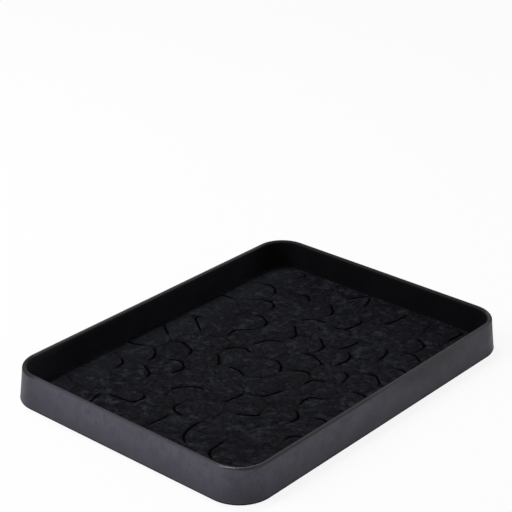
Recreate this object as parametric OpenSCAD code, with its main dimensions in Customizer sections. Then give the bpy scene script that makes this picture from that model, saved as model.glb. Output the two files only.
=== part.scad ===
// Shoe tray: a shallow rubber tray with a rounded rim and a river-stone relief on its floor.
// Millimetres. The origin is the centre of the underside, +Z is up, the long side lies along Y.
// The tray is one moulding. Its regions are modelled one by one and meet face to face.

/* [Tray] */
// Outside width of the foot, across the short side
tray_w = 381; // [240:1:600]
// Outside length of the foot, along the long side
tray_l = 508; // [300:1:900]
// Height from the underside to the top of the rim
tray_h = 44.5; // [28:0.5:80]
// Radius of the four outside corners at the foot, seen from above
corner_r = 44; // [32:1:90]
// Thickness of the floor plate under the relief
floor_t = 4; // [3:0.1:8]

/* [Wall] */
// Distance that the outside of the wall leans in between foot and rim
wall_lean = 4.4; // [2:0.1:8]
// Thickness of the wall where it meets the floor
wall_foot_t = 12.2; // [11:0.1:16]
// Thickness of the rim, whose top is a full round
rim_t = 5.5; // [4:0.1:7]
// Radius of the cove between the inside of the wall and the floor
cove_r = 3; // [1:0.1:6]
// Radius of the rounded bottom edge
foot_r = 2.5; // [1:0.1:3]
// Radius of the trimmed mould seam that runs round the foot
seam_r = 0.6; // [0.3:0.1:1]

/* [Stone relief] */
// Usual distance between the middles of two stones
stone_pitch = 46; // [34:1:80]
// Height of the stones above the floor plate
stone_h = 1.6; // [0.8:0.1:3]
// Width of the groove between two stones
groove_w = 2.2; // [1.2:0.1:4]
// How far a stone strays from its even place, as a share of the usual distance
stone_scatter = 0.2; // [0:0.01:0.25]
// Length of edge that each rounded corner of a stone takes up
stone_round = 9; // [3:0.5:14]
// Number that picks one of the irregular layouts
stone_seed = 1; // [1:1:40]

/* [Hidden] */
$fn = 64;

rubber = [0.17, 0.17, 0.19];
rubber_in_shade = [0.13, 0.13, 0.14];

// Straight part of each side, between the corners
straight_w = tray_w - 2 * corner_r;
straight_l = tray_l - 2 * corner_r;

// The wall's section is drawn in a plane that holds a corner's axis:
// x is the distance out from that axis, y is the height.
rim_r = rim_t / 2;
rim_centre = [corner_r - wall_lean - rim_r, tray_h - rim_r];
foot_point = [corner_r, 0];
inner_foot = [corner_r - wall_foot_t, floor_t];

// Lean of a line from a point that just touches the rim's round, measured from the vertical.
// The line passes on the right of the round with side 1 and on its left with side -1.
function lean(from, side) = let (d = rim_centre - from)
    atan2(d.x, d.y) + side * asin(rim_r / norm(d));
outer_lean = lean(foot_point, 1);
inner_lean = lean(inner_foot, -1);

function heading(angle) = [cos(angle), sin(angle)];
outer_touch = rim_centre + rim_r * heading(-outer_lean);
inner_touch = rim_centre + rim_r * heading(180 - inner_lean);

// The cove runs out on the floor here, and here the wall's section ends against the floor plate
cove_reach = cove_r / tan((90 + inner_lean) / 2);
ledge_x = inner_foot.x - cove_reach;

seam_point = [corner_r - seam_r, foot_r + seam_r];

// Room that is kept between the relief and the cove
relief_margin = 1;
relief_r = ledge_x - relief_margin;
relief_w = straight_w + 2 * relief_r;
relief_l = straight_l + 2 * relief_r;

// Stones along the front that are set by hand: the place of the middle across the tray,
// and its distance from the front of the foot. All others follow the scattered rows.
FRONT_STONES = [
    [-117, 52], [-84, 63], [-90, 104], [-82, 24], [-40, 40], [-28, 84], [9, 80], [28, 50],
    [7, 128], [53, 84], [72, 32], [107, 88], [134, 38]
];

// The area between a corner and a circle of radius r that touches both lines leaving it
module corner_fill(corner, angle_1, angle_2, r) {
    half = (angle_2 - angle_1) / 2;
    centre = corner + r / sin(half) * heading(angle_1 + half);
    reach = r / tan(half);
    difference() {
        polygon([corner, corner + reach * heading(angle_1), centre,
                 corner + reach * heading(angle_2)]);
        translate(centre) circle(r = r);
    }
}

// Whole section of wall and rim, from the ledge beside the floor plate to the rim's round
module wall_section() {
    difference() {
        union() {
            polygon([[ledge_x, 0], foot_point, outer_touch, inner_touch, inner_foot,
                     [ledge_x, floor_t]]);
            translate(rim_centre) circle(r = rim_r);
            translate(seam_point) circle(r = seam_r);
            corner_fill(inner_foot, 90 - inner_lean, 180, cove_r);
        }
        corner_fill(foot_point, 90 - outer_lean, 180, foot_r);
    }
}

// The section between two heights
module section_between(low, high) {
    intersection() {
        wall_section();
        translate([0, low]) square([corner_r + seam_r, high - low]);
    }
}

module wall_part() section_between(0, rim_centre.y);
module rim_part() section_between(rim_centre.y, tray_h);

// A straight side with the section's outside towards +X
module side(distance, length) {
    translate([distance, 0, 0]) rotate([90, 0, 0])
        linear_extrude(height = length, center = true) children();
}

// A quarter turn of the section, starting at +X and ending at +Y
module quarter_turn() {
    translate([straight_w / 2, straight_l / 2, 0])
        rotate_extrude(angle = 90) children();
}

module right_wall() color(rubber) side(straight_w / 2, straight_l) wall_part();
module left_wall() color(rubber) mirror([1, 0, 0]) side(straight_w / 2, straight_l) wall_part();
module back_wall() color(rubber) rotate([0, 0, 90]) side(straight_l / 2, straight_w) wall_part();
module front_wall() color(rubber) rotate([0, 0, -90]) side(straight_l / 2, straight_w) wall_part();

module back_right_corner() color(rubber) quarter_turn() wall_part();
module back_left_corner() color(rubber) mirror([1, 0, 0]) quarter_turn() wall_part();
module front_right_corner() color(rubber) mirror([0, 1, 0]) quarter_turn() wall_part();
module front_left_corner() color(rubber)
    mirror([1, 0, 0]) mirror([0, 1, 0]) quarter_turn() wall_part();

// The rounded bead along the top of the walls, one closed ring
module rim() color(rubber) {
    for (across = [0, 1]) mirror([across, 0, 0]) {
        side(straight_w / 2, straight_l) rim_part();
        for (along = [0, 1]) mirror([0, along, 0]) quarter_turn() rim_part();
    }
    for (end = [-90, 90]) rotate([0, 0, end]) side(straight_l / 2, straight_w) rim_part();
}

module floor_plate() color(rubber_in_shade) linear_extrude(height = floor_t) {
    square([straight_w + 2 * ledge_x, straight_l], center = true);
    square([straight_w, straight_l + 2 * ledge_x], center = true);
    for (x = [-1, 1], y = [-1, 1])
        translate([x * straight_w / 2, y * straight_l / 2]) circle(r = ledge_x);
}

// Outline of the relief: a rectangle with round corners, as points
ARC_STEPS = 5;
function relief_outline() = [
    for (quarter = [0:3], step = [0:ARC_STEPS])
        let (a = 90 * (quarter + step / ARC_STEPS), x = (quarter == 0 || quarter == 3) ? 1 : -1,
             y = quarter < 2 ? 1 : -1)
            [x * straight_w / 2, y * straight_l / 2] + relief_r * heading(a)
];

// Repeatable scatter between -1 and 1 for a stone's column, row and axis
function scatter(column, row, axis) =
    let (v = 43758.5453 * sin(127.1 * column + 311.7 * row + 74.7 * axis + 53.3 * stone_seed))
        2 * (v - floor(v)) - 1;

// Middles of the stones: the hand-set ones, then scattered rows wherever there is room
front_middles = [for (s = FRONT_STONES) [s.x, s.y - tray_l / 2]];
row_pitch = stone_pitch * sin(60);
edge_room = 0.2 * stone_pitch;
near_room = 0.72 * stone_pitch;
columns = ceil(relief_w / stone_pitch / 2);
rows = ceil(relief_l / row_pitch / 2);

function row_middle(column, row) =
    [stone_pitch * (column + (row % 2 == 0 ? 0 : 0.5) + stone_scatter * scatter(column, row, 0)),
     row_pitch * row + stone_pitch * stone_scatter * scatter(column, row, 1)];
function inside_relief(p) =
    abs(p.x) < relief_w / 2 - edge_room && abs(p.y) < relief_l / 2 - edge_room;
function clear_of(p, points) = min([for (q = points) norm(p - q)]) > near_room;

front_stones = [for (p = front_middles) if (inside_relief(p)) p];
middles = concat(front_stones, [
    for (row = [-rows:rows], column = [-columns:columns])
        let (p = row_middle(column, row)) if (inside_relief(p) && clear_of(p, front_middles)) p
]);

// The part of a convex outline on the near side of a line through p square to n
function cut(outline, p, n) = [
    for (i = [0:len(outline) - 1])
        let (a = outline[i], b = outline[(i + 1) % len(outline)], da = (a - p) * n, db = (b - p) * n)
            each concat(da <= 0 ? [a] : [], da * db < 0 ? [a + (b - a) * da / (da - db)] : [])
];

// What is left of the outline around one middle after the grooves to its neighbours are cut
function cut_to_neighbours(outline, middle, others, i = 0) =
    i == len(others) ? outline :
    let (d = others[i] - middle, n = d / norm(d))
        cut_to_neighbours(cut(outline, middle + d / 2 - n * groove_w / 2, n), middle, others, i + 1);

// Leaves out points that lie too close to the one after them
function thinned(outline, least) = [
    for (i = [0:len(outline) - 1])
        if (norm(outline[(i + 1) % len(outline)] - outline[i]) > least) outline[i]
];

// Rounds each corner with a curve that takes up at most reach of the edges beside it
CURVE_STEPS = 3;
EDGE_SHARE = 0.45;
function rounded(outline, reach) = [
    for (i = [0:len(outline) - 1])
        let (v = outline[i], to_last = outline[(i + len(outline) - 1) % len(outline)] - v,
             to_next = outline[(i + 1) % len(outline)] - v,
             a = v + to_last * min(reach / norm(to_last), EDGE_SHARE),
             b = v + to_next * min(reach / norm(to_next), EDGE_SHARE))
            for (step = [0:CURVE_STEPS])
                let (t = step / CURVE_STEPS) a * (1 - t) ^ 2 + v * 2 * t * (1 - t) + b * t ^ 2
];

neighbour_reach = 2.5 * stone_pitch;
least_edge = 2;
function stone_outline(middle) =
    let (others = [for (q = middles) if (q != middle && norm(q - middle) < neighbour_reach) q])
        rounded(thinned(cut_to_neighbours(relief_outline(), middle, others), least_edge),
                stone_round);

module floor_stones() color(rubber_in_shade) translate([0, 0, floor_t])
    for (middle = middles) linear_extrude(height = stone_h) polygon(stone_outline(middle));

floor_plate();
floor_stones();
front_wall();
back_wall();
left_wall();
right_wall();
front_left_corner();
front_right_corner();
back_left_corner();
back_right_corner();
rim();
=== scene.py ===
"""A shallow black rubber shoe tray with a rounded rim and a river-stone relief on its floor.

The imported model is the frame. The tray is one moulding, so its walls, corners and rim are drawn
here as one unbroken skin, with the trimmed mould seam round the foot. The floor and its stones
are drawn inside it. The outer sizes come from the frame. Sizes and places are in metres.
"""

import math
import random

import bmesh
import bpy
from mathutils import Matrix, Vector, geometry, kdtree, noise


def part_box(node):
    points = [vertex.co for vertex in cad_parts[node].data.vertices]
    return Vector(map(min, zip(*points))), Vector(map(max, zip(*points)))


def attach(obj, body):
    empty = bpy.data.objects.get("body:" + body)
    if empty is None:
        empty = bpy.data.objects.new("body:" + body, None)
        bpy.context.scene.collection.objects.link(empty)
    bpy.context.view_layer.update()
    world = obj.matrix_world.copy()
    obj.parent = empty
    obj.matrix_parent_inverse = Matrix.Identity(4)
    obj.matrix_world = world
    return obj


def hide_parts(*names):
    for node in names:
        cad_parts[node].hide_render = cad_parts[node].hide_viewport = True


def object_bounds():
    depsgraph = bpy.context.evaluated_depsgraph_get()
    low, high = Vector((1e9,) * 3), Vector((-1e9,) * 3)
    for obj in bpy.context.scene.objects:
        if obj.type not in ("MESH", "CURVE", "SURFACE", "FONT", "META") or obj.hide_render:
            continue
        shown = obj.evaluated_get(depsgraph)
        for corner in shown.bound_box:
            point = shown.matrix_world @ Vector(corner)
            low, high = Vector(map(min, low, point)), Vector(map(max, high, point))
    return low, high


MM = 0.001

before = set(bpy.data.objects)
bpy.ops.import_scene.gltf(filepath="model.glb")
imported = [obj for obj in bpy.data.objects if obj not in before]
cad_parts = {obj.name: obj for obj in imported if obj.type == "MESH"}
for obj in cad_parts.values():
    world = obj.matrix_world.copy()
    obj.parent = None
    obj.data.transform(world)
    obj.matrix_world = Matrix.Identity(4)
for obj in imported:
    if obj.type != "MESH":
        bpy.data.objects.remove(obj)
cad_low, cad_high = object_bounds()
scene = bpy.context.scene

# Sizes that the frame gives. x and y are half sizes, as the tray stands on its middle.

CORNER_NODES = ["front_left_corner", "front_right_corner", "back_left_corner", "back_right_corner"]
WALL_NODES = ["front_wall", "back_wall", "left_wall", "right_wall"]

plate_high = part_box("floor_plate")[1]
rim_low, rim_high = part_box("rim")
stones_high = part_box("floor_stones")[1]

axis_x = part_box("back_wall")[1].x
axis_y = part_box("right_wall")[1].y
corner_r = cad_high.x - axis_x
floor_z = plate_high.z
stone_z = stones_high.z
stone_height = stone_z - floor_z
ledge = plate_high.x - axis_x
rim_r = rim_high.z - rim_low.z

# Sizes that are chosen here, in line with the solids

COVE_R = 3 * MM
FOOT_R = 2.5 * MM
WALL_FOOT_T = 12.2 * MM
SEAM_Z = 3.1 * MM
SEAM_HALF = 0.7 * MM


# Shared helpers

SHARP_ANGLE = math.radians(50)


def smoothstep(low, high, value):
    """Smooth share of the way from low to high, which may also run downwards."""
    t = min(max((value - low) / (high - low), 0), 1)
    return t * t * (3 - 2 * t)


def wander(point, size, seed):
    """Smooth noise from -1 to 1 whose features are about size metres across."""
    return noise.noise(Vector((point.x / size, point.y / size, seed)))


def finish_mesh(name, bm, materials):
    """Turns a bmesh into a smooth-shaded piece of the tray."""
    bmesh.ops.recalc_face_normals(bm, faces=bm.faces)
    mesh = bpy.data.meshes.new(name)
    bm.to_mesh(mesh)
    bm.free()
    mesh.shade_smooth()
    mesh.set_sharp_from_angle(angle=SHARP_ANGLE)
    for material in materials:
        mesh.materials.append(material)
    piece = bpy.data.objects.new(name, mesh)
    scene.collection.objects.link(piece)
    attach(piece, "root")
    return piece


# Materials

# Values between which nearly all of a noise lies
NOISE_LOW, NOISE_HIGH = 0.3, 0.7
# Stretches that make the spots of a noise a little or much taller than they are wide
TALLER, MUCH_TALLER = (1, 1, 0.7), (1, 1, 0.25)


class Graph:
    """A material's node tree with short calls for the nodes that are used here."""

    def __init__(self, name):
        self.material = bpy.data.materials.new(name)
        self.material.use_nodes = True
        self.tree = self.material.node_tree
        self.shader = self.tree.nodes["Principled BSDF"]
        self.place = self.add("ShaderNodeTexCoord").outputs["Object"]

    def add(self, kind, **settings):
        node = self.tree.nodes.new(kind)
        for key, value in settings.items():
            setattr(node, key, value)
        return node

    def feed(self, socket, value):
        if isinstance(value, bpy.types.NodeSocket):
            self.tree.links.new(value, socket)
        else:
            socket.default_value = value

    def noise(self, size, detail=2, rough=0.5, stretch=None):
        """Noise whose features are about size metres across."""
        place = self.place
        if stretch:
            mapping = self.add("ShaderNodeMapping")
            mapping.inputs["Scale"].default_value = stretch
            self.feed(mapping.inputs["Vector"], place)
            place = mapping.outputs["Vector"]
        node = self.add("ShaderNodeTexNoise")
        self.feed(node.inputs["Vector"], place)
        node.inputs["Scale"].default_value = 1 / size
        node.inputs["Detail"].default_value = detail
        node.inputs["Roughness"].default_value = rough
        return node.outputs["Fac"]

    def axis(self, letter):
        """Place along one axis of the tray, in metres."""
        split = self.add("ShaderNodeSeparateXYZ")
        self.feed(split.inputs["Vector"], self.place)
        return split.outputs[letter]

    def ramp(self, value, low, high, to_low=0.0, to_high=1.0):
        """Goes smoothly from to_low to to_high while value goes from low to high."""
        node = self.add("ShaderNodeMapRange", interpolation_type="SMOOTHSTEP")
        keys = ("Value", "From Min", "From Max", "To Min", "To Max")
        for key, item in zip(keys, (value, low, high, to_low, to_high)):
            self.feed(node.inputs[key], item)
        return node.outputs["Result"]

    def spots(self, size, start, full, share=1.0, **pattern):
        """Spots of a noise: none where the noise is at start, and share where it has reached full."""
        return self.ramp(self.noise(size, **pattern), start, full, 0.0, share)

    def fade(self, letter, start, full, share=1.0):
        """Grows along an axis, from none at the place start to share at the place full."""
        return self.ramp(self.axis(letter), start, full, 0.0, share)

    def mix(self, factor, a, b):
        """Mix of two colours, each a socket or three linear values."""
        node = self.add("ShaderNodeMix", data_type="RGBA")
        self.feed(node.inputs["Factor"], factor)
        for key, value in (("A", a), ("B", b)):
            socket = [s for s in node.inputs if s.name == key and s.type == "RGBA"][0]
            self.feed(socket, value if isinstance(value, bpy.types.NodeSocket) else (*value, 1))
        return [s for s in node.outputs if s.type == "RGBA"][0]

    def layers(self, colour, *layers):
        """Colour with others laid over it in turn, each given as (share, colour)."""
        for share, over in layers:
            colour = self.mix(share, colour, over)
        return colour

    def gloss(self, size, low, high):
        """Roughness that wanders between low and high in patches about size metres across."""
        return self.ramp(self.noise(size, detail=3), NOISE_LOW, NOISE_HIGH, low, high)

    def grain(self, size, height, detail=3, rough=0.5, under=None):
        """Bumps of that size and height, on top of the bumps under them."""
        node = self.add("ShaderNodeBump")
        node.inputs["Distance"].default_value = height
        self.feed(node.inputs["Height"], self.noise(size, detail, rough))
        if under:
            self.feed(node.inputs["Normal"], under)
        return node.outputs["Normal"]

    def finish(self, colour, roughness, specular, normal):
        """Feeds the shader and gives its material."""
        self.feed(self.shader.inputs["Base Color"], colour)
        self.feed(self.shader.inputs["Roughness"], roughness)
        self.shader.inputs["Specular IOR Level"].default_value = specular
        self.feed(self.shader.inputs["Normal"], normal)
        return self.material


# Colours are linear values of red, green and blue. A material's layers go from the lowest to the
# topmost. Most of them are spots of one size, or a tone that grows from one place to another, which is
# mostly painted shade or painted light.


def outside_rubber():
    """Satin rubber with blotches and scuffs, and with painted shade towards the back, the left end and
    the foot.
    """
    g = Graph("rubber_outside")
    cool, warm, pale = (0.0635, 0.0612, 0.0830), (0.0656, 0.0600, 0.0788), (0.0790, 0.0762, 0.1010)
    blotch, scuff, end_grey = (0.0445, 0.0430, 0.0590), (0.075, 0.074, 0.084), (0.0635, 0.0612, 0.0800)
    dim, upper_shade, by_foot = (0.0260, 0.0250, 0.0330), (0.0200, 0.0195, 0.0250), (0.0250, 0.0235, 0.0335)
    foot_edge_shade = (0.010, 0.010, 0.011)

    blotches = g.spots(10 * MM, start=0.58, full=0.36, share=0.75, detail=6, rough=0.72, stretch=TALLER)
    scuffs = g.spots(12 * MM, start=0.66, full=0.80, share=0.35, detail=5, rough=0.7, stretch=MUCH_TALLER)
    upper_half = g.fade("Z", start=14 * MM, full=38 * MM, share=0.92)
    above_foot = g.fade("Z", start=6 * MM, full=20 * MM, share=0.46)
    colour = g.layers(
        cool,
        (g.spots(130 * MM, start=0.38, full=0.62), warm),
        (g.spots(35 * MM, start=0.45, full=0.75, share=0.8, detail=4, rough=0.6), pale),
        (blotches, blotch),
        # Painted shade: darker towards the back, most in the upper half, and towards the left end; less
        # of it above the foot at the back end.
        (g.fade("Y", start=-60 * MM, full=200 * MM, share=0.40), dim),
        (g.fade("Y", start=-40 * MM, full=65 * MM, share=upper_half), upper_shade),
        (g.fade("Y", start=120 * MM, full=185 * MM, share=above_foot), end_grey),
        (g.fade("X", start=-75 * MM, full=-135 * MM, share=0.33), dim),
        (g.fade("X", start=-135 * MM, full=-160 * MM, share=0.25), dim),
        # Painted shade: darker towards the foot, and darkest along the foot's edge.
        (g.fade("Z", start=38 * MM, full=4 * MM, share=0.66), by_foot),
        (g.fade("Z", start=4.5 * MM, full=0.5 * MM, share=0.8), foot_edge_shade),
        (scuffs, scuff),
    )
    soft = g.grain(18 * MM, height=0.25 * MM, detail=2)
    normal = g.grain(0.9 * MM, height=0.04 * MM, detail=2, under=soft)
    return g.finish(colour, g.gloss(20 * MM, 0.44, 0.56), specular=0.20, normal=normal)


def rim_rubber():
    """Dull speckled rubber, greyer where it turns into the outside, and rubbed at one corner, with
    painted shade at the back end, at the left front corner and on the front part of the right side.
    """
    g = Graph("rubber_rim")
    dark, middle, pale = (0.0110, 0.0106, 0.0145), (0.0165, 0.0160, 0.0212), (0.0215, 0.0208, 0.0268)
    patch, scuff, edge_grey = (0.0080, 0.0078, 0.0104), (0.065, 0.063, 0.070), (0.0610, 0.0590, 0.0790)
    right_grey, shade = (0.0560, 0.0545, 0.0700), (0.0060, 0.0058, 0.0070)
    back_shade, left_dark = (0.0050, 0.0049, 0.0053), (0.0090, 0.0088, 0.0095)
    # Roughness of the front side, of the matt parts, and of the rubbed corner
    front_matt, matt, rubbed = 0.74, 0.95, 0.22

    # Parts of the rim, as shares that are 0 outside the part
    end_share = 0.85
    top, front, right = rim_high.z, rim_low.y, rim_high.x
    by_front = g.fade("Y", start=-215 * MM, full=-245 * MM)
    shoulder = g.fade("Z", start=top - 1.0 * MM, full=top - 2.6 * MM, share=by_front)
    front_edge = g.fade("Y", start=front + 2.0 * MM, full=front + 0.6 * MM, share=0.45)
    right_edge = g.fade("X", start=right - 2.1 * MM, full=right - 0.6 * MM, share=0.24)
    on_right = g.fade("X", start=165 * MM, full=180 * MM)
    right_inner = g.fade("X", start=right - 1.3 * MM, full=right - 4.7 * MM, share=on_right)
    on_right_shaded = g.fade("X", start=165 * MM, full=180 * MM, share=0.75)
    right_front = g.fade("Y", start=20 * MM, full=-50 * MM, share=on_right_shaded)
    off_right = g.ramp(g.fade("X", start=150 * MM, full=180 * MM), 0.0, 1.0, end_share, 0.0)
    back_end = g.fade("Y", start=180 * MM, full=240 * MM, share=off_right)
    near_front = g.fade("Y", start=-205 * MM, full=-225 * MM, share=end_share)
    left_end = g.fade("X", start=-128 * MM, full=-154 * MM, share=near_front)
    corner_front = g.fade("Y", start=-205 * MM, full=-230 * MM)
    front_corner = g.fade("X", start=142 * MM, full=160 * MM, share=corner_front)

    colour = g.layers(
        dark,
        (g.spots(2.2 * MM, start=0.38, full=0.66), middle),
        (g.spots(30 * MM, start=0.45, full=0.7, share=0.6, detail=3), pale),
        (g.spots(13 * MM, start=0.60, full=0.40, share=0.6, detail=4, rough=0.6), patch),
        (g.spots(4.0 * MM, start=0.60, full=0.72, share=0.5, detail=4, rough=0.7), scuff),
        (shoulder, edge_grey),
        (front_edge, edge_grey),
        (right_edge, right_grey),
        # Painted shadow on the front part of the right side.
        (right_front, shade),
        # Painted shade at the back end, except towards the right side.
        (back_end, back_shade),
        # Painted shade at the left front corner.
        (left_end, left_dark),
    )
    roughness = g.gloss(6 * MM, 0.46, 0.58)
    roughness = g.ramp(g.axis("Y"), -215 * MM, -245 * MM, roughness, front_matt)
    for share, full in ((right_inner, 1.0), (left_end, end_share), (back_end, end_share)):
        roughness = g.ramp(share, 0.0, full, roughness, matt)
    roughness = g.ramp(front_corner, 0.0, 1.0, roughness, rubbed)
    return g.finish(colour, roughness, specular=0.28, normal=g.grain(1.6 * MM, height=0.04 * MM))


def inside_rubber(name, specular):
    """Matt mottled rubber of the floor and smoother rubber on the walls, darker than the outside partly
    as painted shade.
    """
    g = Graph(name)
    dark, middle, pale = (0.0018, 0.0018, 0.0025), (0.0062, 0.0064, 0.0086), (0.0176, 0.0189, 0.0237)
    speckle, left_pale = (0.0215, 0.0225, 0.0265), (0.0185, 0.0195, 0.0240)
    groove = (0.0012, 0.0012, 0.0015)
    floor = g.layers(
        dark,
        (g.spots(6 * MM, start=0.40, full=0.58, detail=5, rough=0.7), middle),
        (g.spots(10.5 * MM, start=0.48, full=0.68, detail=5, rough=0.68), pale),
        (g.spots(2.7 * MM, start=0.57, full=0.70, share=0.55, detail=3, rough=0.6), speckle),
        (g.spots(28 * MM, start=0.40, full=0.64, share=0.4, detail=3, rough=0.6), dark),
        # Painted light: the floor is paler towards the left wall.
        (g.fade("X", start=-110 * MM, full=-165 * MM, share=0.25), left_pale),
        # Painted shade: the floor turns nearly black low in the grooves.
        (g.fade("Z", start=floor_z + 1.2 * MM, full=floor_z + 0.2 * MM), groove),
    )

    # The walls' inside is darker than the outside, partly as painted shade.
    smooth, smooth_pale = (0.0170, 0.0153, 0.0198), (0.0238, 0.0220, 0.0272)
    by_rim, front_dark = (0.0380, 0.0360, 0.0390), (0.0030, 0.0026, 0.0032)
    back_dark = (0.0016, 0.0014, 0.0016)
    wall = g.layers(
        smooth,
        (g.spots(50 * MM, start=0.35, full=0.65, detail=3), smooth_pale),
        # Painted light: the inside of the walls is paler towards the rim.
        (g.fade("Z", start=34 * MM, full=43 * MM, share=0.7), by_rim),
        # Painted shadow: the inside of the walls is darker away from the front end, and darkest at the
        # back end.
        (g.fade("Y", start=-200 * MM, full=-130 * MM, share=0.5), front_dark),
        (g.fade("Y", start=150 * MM, full=240 * MM, share=0.75), back_dark),
    )
    colour = g.mix(g.fade("Z", start=stone_z + 0.5 * MM, full=stone_z + 1.4 * MM), floor, wall)
    coarse = g.grain(4.5 * MM, height=0.60 * MM, detail=5, rough=0.65)
    normal = g.grain(1.1 * MM, height=0.10 * MM, under=coarse)
    return g.finish(colour, g.gloss(10 * MM, 0.62, 0.85), specular, normal)


def foot_rubber():
    """Matt rubber below the mould seam, painted dark as shade, with pale dirt."""
    g = Graph("rubber_foot")
    dark, middle, dirt = (0.0070, 0.0068, 0.0080), (0.0150, 0.0145, 0.0170), (0.060, 0.056, 0.052)
    colour = g.layers(
        dark,
        (g.spots(12 * MM, start=0.38, full=0.64, detail=4, rough=0.7), middle),
        (g.spots(5 * MM, start=0.62, full=0.78, share=0.5, detail=5, rough=0.75), dirt),
    )
    normal = g.grain(1.4 * MM, height=0.12 * MM)
    return g.finish(colour, g.gloss(10 * MM, 0.70, 0.88), specular=0.08, normal=normal)


def underside_rubber():
    """Grey rubber that rests on the ground, with dust on it."""
    g = Graph("rubber_underside")
    dark, pale, dust = (0.026, 0.026, 0.030), (0.040, 0.039, 0.044), (0.085, 0.080, 0.076)
    colour = g.layers(
        dark,
        (g.spots(60 * MM, start=0.35, full=0.65, detail=4), pale),
        (g.spots(9 * MM, start=0.58, full=0.76, share=0.5, detail=6, rough=0.75), dust),
    )
    normal = g.grain(1.4 * MM, height=0.08 * MM)
    return g.finish(colour, g.gloss(15 * MM, 0.62, 0.82), specular=0.3, normal=normal)


outside_mat, rim_mat = outside_rubber(), rim_rubber()
stone_mat = inside_rubber("rubber_inside", specular=0.02)
# Copy without sheen for the deep grooves, so that they look darker: painted shade.
groove_mat = inside_rubber("rubber_groove", specular=0.0)
foot_mat, under_mat = foot_rubber(), underside_rubber()


# Section of wall and rim


def heading(angle):
    """Direction at an angle from the first axis, as a vector of length 1."""
    return Vector((math.cos(angle), math.sin(angle)))


def arc(centre, radius, start, end, steps):
    """Points of an arc with both of its ends."""
    return [centre + radius * heading(start + (end - start) * i / steps) for i in range(steps + 1)]


def between(start, end, steps):
    """Points between two others, without these two."""
    return [start.lerp(end, i / steps) for i in range(1, steps)]


def lean_of(point, centre, side):
    """Lean from the vertical of the line through point that touches the rim's round."""
    d = centre - point
    return math.atan2(d.x, d.y) + side * math.asin(rim_r / d.length)


def rounded_corner(corner, angle_1, angle_2, radius, steps):
    """Arc of that radius that touches the two lines leaving the corner, from first to second."""
    half = (angle_2 - angle_1) / 2
    centre = corner + radius / math.sin(half) * heading(angle_1 + half)
    return arc(centre, radius, angle_1 - math.pi / 2, angle_2 - 1.5 * math.pi, steps)


# How far inside the plate's edge the skins of wall and floor meet, so that both are flat there
SEAM_INSET = 0.4 * MM
BORDER_FILL = 1.25 * MM
skin_edge = ledge - SEAM_INSET
border_z = floor_z + BORDER_FILL

# Steps of the section's round and straight stretches
ROUND_STEPS = 6
BEAD_STEPS = 16
INNER_FACE_STEPS = 9
OUTER_FACE_STEPS = 12
# Heights of the mould seam's points, as shares of half its width above and below its middle
SEAM_ABOVE = (1, 0.7, 0.35, 0)
SEAM_BELOW = (-0.35, -0.7, -1)
# Width of the underside's outer edge, which has a row of points of its own
UNDER_EDGE = 1 * MM

INSIDE, RIM, OUTSIDE, FOOT, UNDER = range(5)


def wall_section():
    """Closed section as (point, zone), from the floor inside over the rim to the underside.

    x is the distance out from a corner's axis and y the height. The zone is that of the face
    that starts at the point.
    """
    quarter = math.pi / 2
    rim_centre = Vector((rim_high.x - axis_x - rim_r, rim_high.z - rim_r))
    foot, inner_foot = Vector((corner_r, 0)), Vector((corner_r - WALL_FOOT_T, floor_z))
    outer_lean = lean_of(foot, rim_centre, 1)
    inner_lean = lean_of(inner_foot, rim_centre, -1)

    cove = rounded_corner(inner_foot, quarter - inner_lean, math.pi, COVE_R, ROUND_STEPS)[::-1]
    bead = arc(rim_centre, rim_r, math.pi - inner_lean, -outer_lean, BEAD_STEPS)
    edge = rounded_corner(foot, quarter - outer_lean, math.pi, FOOT_R, ROUND_STEPS)

    slope = (bead[-1] - edge[0]) / (bead[-1].y - edge[0].y)

    def on_seam(shares):
        return [edge[0] + slope * (SEAM_Z + SEAM_HALF * s - edge[0].y) for s in shares]

    above, below = on_seam(SEAM_ABOVE), on_seam(SEAM_BELOW)
    zones = (
        (INSIDE, [Vector((skin_edge, border_z))]),
        (INSIDE, [Vector((p.x, max(p.y, border_z))) for p in cove]),
        (INSIDE, between(cove[-1], bead[0], INNER_FACE_STEPS)),
        (RIM, bead[:-1]),
        (OUTSIDE, [bead[-1]] + between(bead[-1], above[0], OUTER_FACE_STEPS) + above),
        (FOOT, below + edge[:-1]),
        (UNDER, [edge[-1], Vector((edge[-1].x - UNDER_EDGE, 0)), Vector((skin_edge, 0))]),
    )
    return [(p, zone) for zone, points in zones for p in points]


def stations(arc_steps, spacing):
    """(axis point, way out) all round the tray, counter-clockwise from the end of the right side."""
    axes = [Vector((axis_x * x, axis_y * y)) for x, y in ((1, 1), (-1, 1), (-1, -1), (1, -1))]
    found = []
    for quarter, axis in enumerate(axes):
        found += [(axis, heading(math.pi / 2 * (quarter + i / arc_steps))) for i in range(arc_steps + 1)]
        far = axes[(quarter + 1) % 4]
        steps = round((far - axis).length / spacing)
        found += [(p, heading(math.pi / 2 * (quarter + 1))) for p in between(axis, far, steps)]
    return found


# Steps of each corner, and the distance between stations along the straight sides
ARC_STEPS = 20
STATION_SPACING = 9 * MM
ring_stations = stations(ARC_STEPS, STATION_SPACING)


# Unevenness of a soft moulding: how far, over what length, and from which height up

WALL_WANDER, WALL_WAVE = 0.3 * MM, 110 * MM
WALL_STILL_Z, WALL_FREE_Z = 4 * MM, 30 * MM
RIM_DIP, RIM_WAVE = 0.18 * MM, 70 * MM
RIM_STILL_Z, RIM_FREE_Z = 20 * MM, 44 * MM
SEAM_HEIGHT = 0.36 * MM
# What the trimming has left of the mould seam's height, as shares: its mean, its short and long
# waves, and the least of it
TRIM_MEAN = 0.62
TRIM_SHORT, TRIM_SHORT_WAVE = 0.38, 13 * MM
TRIM_LONG, TRIM_LONG_WAVE = 0.3, 50 * MM
TRIM_LEAST = 0.1
# The seam lies this close to the foot's outer edge
SEAM_REACH = 2 * MM
WALL_SEED, RIM_SEED, SHORT_SEED, LONG_SEED = 3.7, 8.1, 1.3, 5.9


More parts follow.
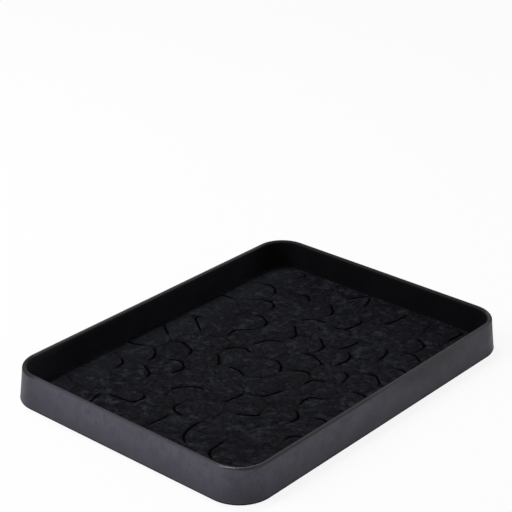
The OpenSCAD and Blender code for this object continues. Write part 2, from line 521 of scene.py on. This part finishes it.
def skin_point(point, axis, out):
    """Place of a section point at a station, with the unevenness of a soft moulding."""
    far = axis + out * corner_r
    up = smoothstep(WALL_STILL_Z, WALL_FREE_Z, point.y)
    inwards = WALL_WANDER * up * (0.5 + 0.5 * wander(far, WALL_WAVE, WALL_SEED))
    high = smoothstep(RIM_STILL_Z, RIM_FREE_Z, point.y)
    dip = RIM_DIP * high * (0.5 + 0.5 * wander(far, RIM_WAVE, RIM_SEED))
    x = point.x - inwards
    if point.x > corner_r - SEAM_REACH and abs(point.y - SEAM_Z) < SEAM_HALF:
        rise = 0.5 + 0.5 * math.cos(math.pi * (point.y - SEAM_Z) / SEAM_HALF)
        left = TRIM_MEAN + TRIM_SHORT * wander(far, TRIM_SHORT_WAVE, SHORT_SEED)
        left += TRIM_LONG * wander(far, TRIM_LONG_WAVE, LONG_SEED)
        x = min(x + SEAM_HEIGHT * rise * min(max(left, TRIM_LEAST), 1), corner_r)
    place = axis + out * x
    return Vector((place.x, place.y, point.y - dip))


def make_walls():
    bm = bmesh.new()
    section = wall_section()
    rings = [[bm.verts.new(skin_point(p, *station)) for p, _ in section] for station in ring_stations]
    for ring, following in zip(rings, rings[1:] + rings[:1]):
        for i, (_, zone) in enumerate(section):
            j = (i + 1) % len(section)
            face = bm.faces.new((ring[i], ring[j], following[j], following[i]))
            face.material_index = zone
    piece = finish_mesh("tray_walls", bm, [stone_mat, rim_mat, outside_mat, foot_mat, under_mat])
    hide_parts("rim", *WALL_NODES, *CORNER_NODES)


# Outlines of the stones

# Points closer than this are one point, and faces within this height of the top are on top
WELD = 0.001 * MM
TOP_BAND = 0.01 * MM
# Least number of points along an outline
LEAST_POINTS = 16


def top_outlines(node):
    """Outlines of the flat tops of a CAD node, each as points in counter-clockwise order."""
    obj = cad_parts[node]
    mesh = obj.data
    places = [obj.matrix_world @ v.co for v in mesh.vertices]
    top = max(p.z for p in places)
    key = {}
    ids = [key.setdefault((round(p.x / WELD), round(p.y / WELD)), len(key)) for p in places]
    spot = {ids[i]: Vector((p.x, p.y)) for i, p in enumerate(places)}
    sides = set()
    for face in mesh.polygons:
        corners = list(face.vertices)
        if min(places[i].z for i in corners) > top - TOP_BAND:
            sides.update((ids[a], ids[b]) for a, b in zip(corners, corners[1:] + corners[:1]))
    following = {a: b for a, b in sides if (b, a) not in sides}
    outlines = []
    while following:
        start = min(following)
        loop = [start]
        while following[loop[-1]] != start:
            loop.append(following.pop(loop[-1]))
        following.pop(loop[-1])
        outlines.append([spot[i] for i in loop])
    return outlines


def respaced(outline, spacing):
    """Points at an even spacing along a closed outline."""
    sides = list(zip(outline, outline[1:] + outline[:1]))
    lengths = [(b - a).length for a, b in sides]
    count = max(round(sum(lengths) / spacing), LEAST_POINTS)
    step = sum(lengths) / count
    found, walked, i = [], 0.0, 0
    for n in range(count):
        while walked + lengths[i] < n * step:
            walked += lengths[i]
            i += 1
        a, b = sides[i]
        found.append(a.lerp(b, (n * step - walked) / lengths[i]))
    return found


def softened(outline):
    """Outline whose points have moved halfway towards the middle of their neighbours."""
    count = len(outline)
    return [outline[i] / 2 + (outline[i - 1] + outline[(i + 1) % count]) / 4 for i in range(count)]


def outward(outline):
    """Way out at each point of a counter-clockwise outline."""
    count = len(outline)
    found = []
    for i in range(count):
        along = outline[(i + 1) % count] - outline[i - 1]
        found.append(Vector((along.y, -along.x)).normalized())
    return found


def turn_at(outline, i):
    """How far a closed outline turns around one of its points, in radians."""
    before, after = outline[i] - outline[i - 2], outline[(i + 2) % len(outline)] - outline[i]
    return before.angle(after)


OUTLINE_SPACING = 2.4 * MM
# Irregular outline: how far it strays over long waves, and its short waves as a share of that
OUTLINE_WANDER, OUTLINE_WAVE = 0.42 * MM, 11 * MM
SHORT_SHARE, SHORT_WAVE = 0.9, 5.2 * MM
# Added to a stone's number, so that its short waves have a seed of their own
SHORT_ADDED = 0.5
# Corners are pushed out again where the outline turns by more than the first of these angles
CORNER_PUSH = 1.0 * MM
SLIGHT_TURN, FULL_TURN = 0.15, 0.75
# Bend of the straight sides, which fades towards the edge of the floor
BEND, BEND_WAVE = 2.2 * MM, 20 * MM
BEND_NONE, BEND_FULL = 0.5 * MM, 14 * MM
BEND_SEEDS = (40.5, 60.5)


def from_edge(place):
    """Distance of a place from the floor skin's outline, at the tray's straight sides."""
    return min(axis_x + skin_edge - abs(place.x), axis_y + skin_edge - abs(place.y))


def bent(place):
    """Shifts a place by smooth noise, so that the stones' straight sides become irregular."""
    share = smoothstep(BEND_NONE, BEND_FULL, from_edge(place))
    return place + BEND * share * Vector([wander(place, BEND_WAVE, seed) for seed in BEND_SEEDS])


class Stone:
    """A stone's outline with the way out at each of its points."""

    def __init__(self, number, cad_outline):
        self.number = number
        points = [bent(p) for p in softened(softened(respaced(cad_outline, OUTLINE_SPACING)))]
        for i, way in enumerate(outward(points)):
            corner = smoothstep(SLIGHT_TURN, FULL_TURN, turn_at(points, i))
            uneven = wander(points[i], OUTLINE_WAVE, number)
            uneven += SHORT_SHARE * wander(points[i], SHORT_WAVE, number + SHORT_ADDED)
            points[i] += way * (OUTLINE_WANDER * uneven + CORNER_PUSH * corner)
        self.points = points
        self.ways = outward(points)
        self.middle = sum(points, Vector((0, 0))) / len(points)

    def depth_share(self, point, start, end):
        """Depth of the groove beside a point for a groove that runs from start to end, in degrees."""
        turned = (math.degrees(math.atan2(*(point - self.middle).yx)) - start) % 360
        return smoothstep(0, FADE_ANGLE, min(turned, end - start - turned))


stones = [Stone(number, outline) for number, outline in enumerate(top_outlines("floor_stones"))]


# Grooves that are moulded to their full depth

# A place in the stone that a groove runs round, in millimetres, and the angles between which it
# does so, in degrees
DEEP_GROOVES = (
    (-85, -190, 125, 195), (-90, -152, 240, 385), (9, -172, 128, 232), (7, -126, 180, 262),
    (53, -170, 128, 262), (105, -166, 150, 262),
)
# Greatest distance of such a place from the middle of its stone
PLACE_REACH = 15 * MM
# The floor behind this line is hidden in the photo. Its grooves are spread by chance.
HIDDEN_FROM = -118 * MM
# Angle over which a groove gets deeper at each of its ends, in degrees
FADE_ANGLE = 22
# How far outside the stone's outline the groove's middle lies, and the distances from its middle
# up to which it has its full depth and from which on it has none
DEEP_OFFSET = 0.8 * MM
DEEP_NEAR, DEEP_FAR = 1.4 * MM, 2.9 * MM
# Least distance between two grooves that are spread by chance, how many arcs each stone tries,
# and their shortest and longest angle
DEEP_APART = 10 * MM
ARC_TRIES = 8
ARC_ANGLES = (80, 150)
# Index of the groove's material on the floor and on the stones, and the share of a groove's full
# depth from which it is used
DEEP = 1
DEEP_SHARE = 0.5


def hand_set_arcs(stone):
    """Angles of the listed groove that runs round a stone, as a list of one or none."""
    return [(start, end) for x, y, start, end in DEEP_GROOVES
            if (stone.middle - Vector((x, y)) * MM).length < PLACE_REACH]


def chance_arcs(stone):
    """Some arcs to try round a stone that the photo doesn't show."""
    dice = random.Random(stone.number)
    tries = [(dice.uniform(0, 360), dice.uniform(*ARC_ANGLES)) for _ in range(ARC_TRIES)]
    return [(start, start + span) for start, span in tries] if stone.middle.y > HIDDEN_FROM else []


deep_points, deep_ways, deep_shares = [], [], []


def add_deep_groove(stone, arcs, apart):
    """Moulds the first of the arcs that stays that far apart from the grooves before it."""
    for start, end in arcs:
        shares = [stone.depth_share(point, start, end) for point in stone.points]
        found = [(point + way * DEEP_OFFSET, way, share)
                 for point, way, share in zip(stone.points, stone.ways, shares) if share > 0]
        if all((point - other).length > apart for point, _, _ in found for other in deep_points):
            for points, item in zip((deep_points, deep_ways, deep_shares), zip(*found)):
                points.extend(item)
            return


for stone in stones:
    add_deep_groove(stone, hand_set_arcs(stone), 0)
for stone in stones:
    add_deep_groove(stone, chance_arcs(stone), DEEP_APART)
deep_tree = kdtree.KDTree(len(deep_points))
for index, point in enumerate(deep_points):
    deep_tree.insert((point.x, point.y, 0), index)
deep_tree.balance()


# Floor between the stones

FLOOR_GRID = 4 * MM
# How high the grooves are filled up, how far that strays and over what length
GROOVE_FILL = 0.8 * MM
FILL_WANDER, FILL_WAVE, FILL_SEED = 0.4 * MM, 24 * MM, 33.5
# How far from the walls the grooves begin to be filled up
BORDER_WIDTH = 12 * MM
# Extra points of the floor's mesh across a deep groove, as distances from its middle in millimetres
DEEP_STEPS = (-2.6, -1.6, -0.8, 0, 0.8, 1.5, 2.2, 3.0)
# Settings of the floor's triangulation: it keeps what lies inside the outline, and joins points
# closer than this
KEEP_INSIDE = 1
JOIN_POINTS = 1e-7
# Index of the underside's material on the floor
FLOOR_UNDER = 2


def depth_of_groove(place):
    """Share of its full depth that a groove has at a place. Moulded stone runs together elsewhere."""
    _, index, distance = deep_tree.find((place.x, place.y, 0))
    return deep_shares[index] * smoothstep(DEEP_FAR, DEEP_NEAR, distance)


def groove_floor(place):
    """Height of the rubber between the stones."""
    fill = GROOVE_FILL + FILL_WANDER * wander(place, FILL_WAVE, FILL_SEED)
    fill += (BORDER_FILL - fill) * smoothstep(BORDER_WIDTH, BORDER_WIDTH / 3, from_edge(place))
    return floor_z + fill * (1 - depth_of_groove(place))


def inside_outline(place):
    """Whether a place lies well inside the floor skin's outline."""
    room = skin_edge - FLOOR_GRID / 2
    out = Vector((max(abs(place.x) - axis_x, 0), max(abs(place.y) - axis_y, 0)))
    return out.length < room


def floor_points():
    """Points inside the floor's outline: an even grid, and rows across the deep grooves."""
    columns, rows = round((axis_x + skin_edge) / FLOOR_GRID), round((axis_y + skin_edge) / FLOOR_GRID)
    grid = [Vector((i * FLOOR_GRID, j * FLOOR_GRID))
            for i in range(-columns, columns + 1) for j in range(-rows, rows + 1)]
    ribs = [p + way * step * MM for p, way in zip(deep_points, deep_ways) for step in DEEP_STEPS]
    return [p for p in grid + ribs if inside_outline(p)]


def make_floor():
    outline = [axis + out * skin_edge for axis, out in ring_stations]
    count = len(outline)
    edges = [(i, (i + 1) % count) for i in range(count)]
    flat = geometry.delaunay_2d_cdt(
        outline + floor_points(), edges, [list(range(count))], KEEP_INSIDE, JOIN_POINTS
    )
    places, triangles = flat[0], flat[2]

    bm = bmesh.new()
    heights = [border_z] * count + [groove_floor(p) for p in places[count:]]
    top = [bm.verts.new((p.x, p.y, z)) for p, z in zip(places, heights)]
    for corners in triangles:
        face = bm.faces.new([top[i] for i in corners])
        if depth_of_groove(face.calc_center_median().xy) > DEEP_SHARE:
            face.material_index = DEEP
    bottom = [bm.verts.new((p.x, p.y, 0)) for p in places[:count]]
    bm.faces.new(bottom).material_index = FLOOR_UNDER
    for i in range(count):
        j = (i + 1) % count
        bm.faces.new((top[i], top[j], bottom[j], bottom[i]))
    piece = finish_mesh("floor_panel", bm, [stone_mat, groove_mat, under_mat])
    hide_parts("floor_plate")


# Stones

# Rounding of a stone's edge, as (millimetres inwards, share of the stone's height)
EDGE_ROUNDING = ((-0.55, -0.06), (-0.25, 0.12), (0.0, 0.32), (0.35, 0.48), (0.9, 0.61), (1.7, 0.71))
# Rings of points on a stone's top, as shares of the way from its middle to its edge
TOP_RINGS = (0.93, 0.85, 0.74, 0.58, 0.40, 0.20)
# Power of the curve in which a top falls off towards its edge
TOP_POWER = 6
# Rings of faces, from the foot up, that have the groove's material beside a deep groove
FLANK_RINGS = 2
# How far the stones grow beside a shallow groove, and shrink beside a deep one
GROOVE_NARROWING = 0.55 * MM
GROOVE_WIDENING = 0.2 * MM
# How far the top of a stone bulges up in its middle
CROWN = 0.40 * MM
# Unevenness of the tops: how far over long waves, and the short waves as a share of that
TOP_WANDER, TOP_WAVE = 0.45 * MM, 19 * MM
TOP_SHORT_SHARE, TOP_SHORT_WAVE = 0.4, 7 * MM
# Added to a stone's number for the seeds of its top's long and short waves
TOP_ADDED, TOP_SHORT_ADDED = 0.5, 0.2
# Most that a stone tilts, as a slope, and that it lies higher or lower than the others
STONE_TILT = 0.006
STONE_LIFT = 0.12 * MM


def add_stone(bm, stone):
    """Adds a stone to the relief, as rings of points from its foot over its edge to its peak."""
    number, ways, middle = stone.number, stone.ways, stone.middle
    depths = [depth_of_groove(p) for p in stone.points]
    outline = [p + way * (GROOVE_NARROWING * (1 - d) - GROOVE_WIDENING * d)
               for p, way, d in zip(stone.points, ways, depths)]
    count = len(outline)
    dice = random.Random(number)
    tilt = Vector((dice.uniform(-1, 1), dice.uniform(-1, 1))) * STONE_TILT
    lift = dice.uniform(-STONE_LIFT, STONE_LIFT)

    def surface(place, share, level):
        """Height of the stone's skin, with level 0 at its edge and 1 in its middle."""
        uneven = wander(place, TOP_WAVE, number + TOP_ADDED)
        uneven += TOP_SHORT_SHARE * wander(place, TOP_SHORT_WAVE, number + TOP_SHORT_ADDED)
        shape = CROWN * level + TOP_WANDER * uneven + tilt.dot(place - middle) + lift
        return floor_z + stone_height * share + max(share, 0) * shape

    def ring(places, share, level):
        return [bm.verts.new((p.x, p.y, surface(p, share, level))) for p in places]

    def inset(inwards):
        return [p - way * inwards * MM for p, way in zip(outline, ways)]

    rings = [ring(inset(inwards), share, 0) for inwards, share in EDGE_ROUNDING]
    top_inset, top_share = EDGE_ROUNDING[-1]
    for s in TOP_RINGS:
        places = [middle.lerp(p, s) for p in inset(top_inset)]
        rings.append(ring(places, 1 - (1 - top_share) * s ** TOP_POWER, 1 - s * s))
    for level, (outer, inner) in enumerate(zip(rings, rings[1:])):
        for i in range(count):
            j = (i + 1) % count
            face = bm.faces.new((outer[i], outer[j], inner[j], inner[i]))
            if level < FLANK_RINGS and depths[i] > DEEP_SHARE:
                face.material_index = DEEP
    peak = bm.verts.new((middle.x, middle.y, surface(middle, 1, 1)))
    for i in range(count):
        bm.faces.new((rings[-1][i], rings[-1][(i + 1) % count], peak))
    bm.faces.new(rings[0][::-1])


def make_stones():
    bm = bmesh.new()
    for stone in stones:
        add_stone(bm, stone)
    piece = finish_mesh("stone_relief", bm, [stone_mat, groove_mat])
    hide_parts("floor_stones")


make_walls()
make_floor()
make_stones()


# Stage, light and camera

STAGE_SIZE = 12
# How far the stage lies below the tray, so that their faces don't fight
STAGE_DROP = 0.05 * MM
STAGE_GREY = (0.72, 0.72, 0.72, 1)
# Share of plain white in the stage where it is seen directly. The rest is lit grey.
STAGE_GLOW = 0.88
# Strength of the world's light on the tray. Where the world is seen directly, it is plain white.
WORLD_LIGHT = 0.27
WHITE = (1, 1, 1, 1)


def seen_directly(tree):
    """Socket that is 1 for what the camera sees directly, in a reflection or through glass."""
    path = tree.nodes.new("ShaderNodeLightPath")
    found = path.outputs["Is Camera Ray"]
    for ray in ("Is Glossy Ray", "Is Transmission Ray"):
        either = tree.nodes.new("ShaderNodeMath")
        either.operation = "MAXIMUM"
        tree.links.new(found, either.inputs[0])
        tree.links.new(path.outputs[ray], either.inputs[1])
        found = either.outputs["Value"]
    return found


def make_stage():
    mesh = bpy.data.meshes.new("stage_floor")
    half = STAGE_SIZE / 2
    corners = [(-half, -half, 0), (half, -half, 0), (half, half, 0), (-half, half, 0)]
    mesh.from_pydata(corners, [], [(0, 1, 2, 3)])
    floor = bpy.data.objects.new("stage_floor", mesh)
    floor.location.z = -STAGE_DROP
    scene.collection.objects.link(floor)

    material = bpy.data.materials.new("stage_white")
    material.use_nodes = True
    tree = material.node_tree
    tree.nodes.clear()
    diffuse = tree.nodes.new("ShaderNodeBsdfDiffuse")
    diffuse.inputs["Color"].default_value = STAGE_GREY
    glow = tree.nodes.new("ShaderNodeEmission")
    glow.inputs["Strength"].default_value = 1
    share = tree.nodes.new("ShaderNodeMath")
    share.operation = "MULTIPLY"
    share.inputs[1].default_value = STAGE_GLOW
    mix = tree.nodes.new("ShaderNodeMixShader")
    out = tree.nodes.new("ShaderNodeOutputMaterial")
    links = tree.links
    links.new(seen_directly(tree), share.inputs[0])
    links.new(share.outputs["Value"], mix.inputs["Fac"])
    links.new(diffuse.outputs["BSDF"], mix.inputs[1])
    links.new(glow.outputs["Emission"], mix.inputs[2])
    links.new(mix.outputs["Shader"], out.inputs["Surface"])
    mesh.materials.append(material)


def make_world():
    world = bpy.data.worlds.new("studio")
    scene.world = world
    world.use_nodes = True
    tree = world.node_tree
    background = tree.nodes["Background"]
    background.inputs["Color"].default_value = WHITE
    strength = tree.nodes.new("ShaderNodeMapRange")
    strength.inputs["To Min"].default_value = WORLD_LIGHT
    strength.inputs["To Max"].default_value = 1
    tree.links.new(seen_directly(tree), strength.inputs["Value"])
    tree.links.new(strength.outputs["Result"], background.inputs["Strength"])


def make_lamp(name, way, distance, size, level):
    """Square lamp that gives a surface facing it that share of the light that shows white as white."""
    light = bpy.data.lights.new(name, "AREA")
    light.shape = "SQUARE"
    light.size = size
    light.energy = level * (math.pi * distance) ** 2
    lamp = bpy.data.objects.new(name, light)
    back = Vector(way).normalized()
    lamp.location = back * distance
    lamp.rotation_euler = back.to_track_quat("Z", "Y").to_euler()
    scene.collection.objects.link(lamp)


# Place, direction and lens at which the tray's outline lies as in the photo
CAMERA_PLACE = (1.1581, -1.3475, 0.9880)
CAMERA_AZIMUTH = math.radians(40.978)
CAMERA_ELEVATION = math.radians(25.075)
CAMERA_LENS = 115.37
CAMERA_SENSOR = 36


def make_camera():
    data = bpy.data.cameras.new("camera")
    data.lens = CAMERA_LENS
    data.sensor_width = CAMERA_SENSOR
    camera = bpy.data.objects.new("camera", data)
    camera.location = CAMERA_PLACE
    level, up = math.cos(CAMERA_ELEVATION), math.sin(CAMERA_ELEVATION)
    back = Vector((math.sin(CAMERA_AZIMUTH) * level, -math.cos(CAMERA_AZIMUTH) * level, up))
    camera.rotation_euler = back.to_track_quat("Z", "Y").to_euler()
    scene.collection.objects.link(camera)
    scene.camera = camera


make_stage()
make_world()
make_lamp("key", way=(-0.54, -0.78, 0.92), distance=4.2, size=2.4, level=0.80)
make_lamp("fill", way=(0.9, 0.20, 0.40), distance=4.2, size=2.2, level=0.08)
make_lamp("top", way=(-0.30, 0.10, 0.95), distance=3.6, size=0.5, level=0.46)
make_camera()
scene.view_settings.view_transform = "Standard"
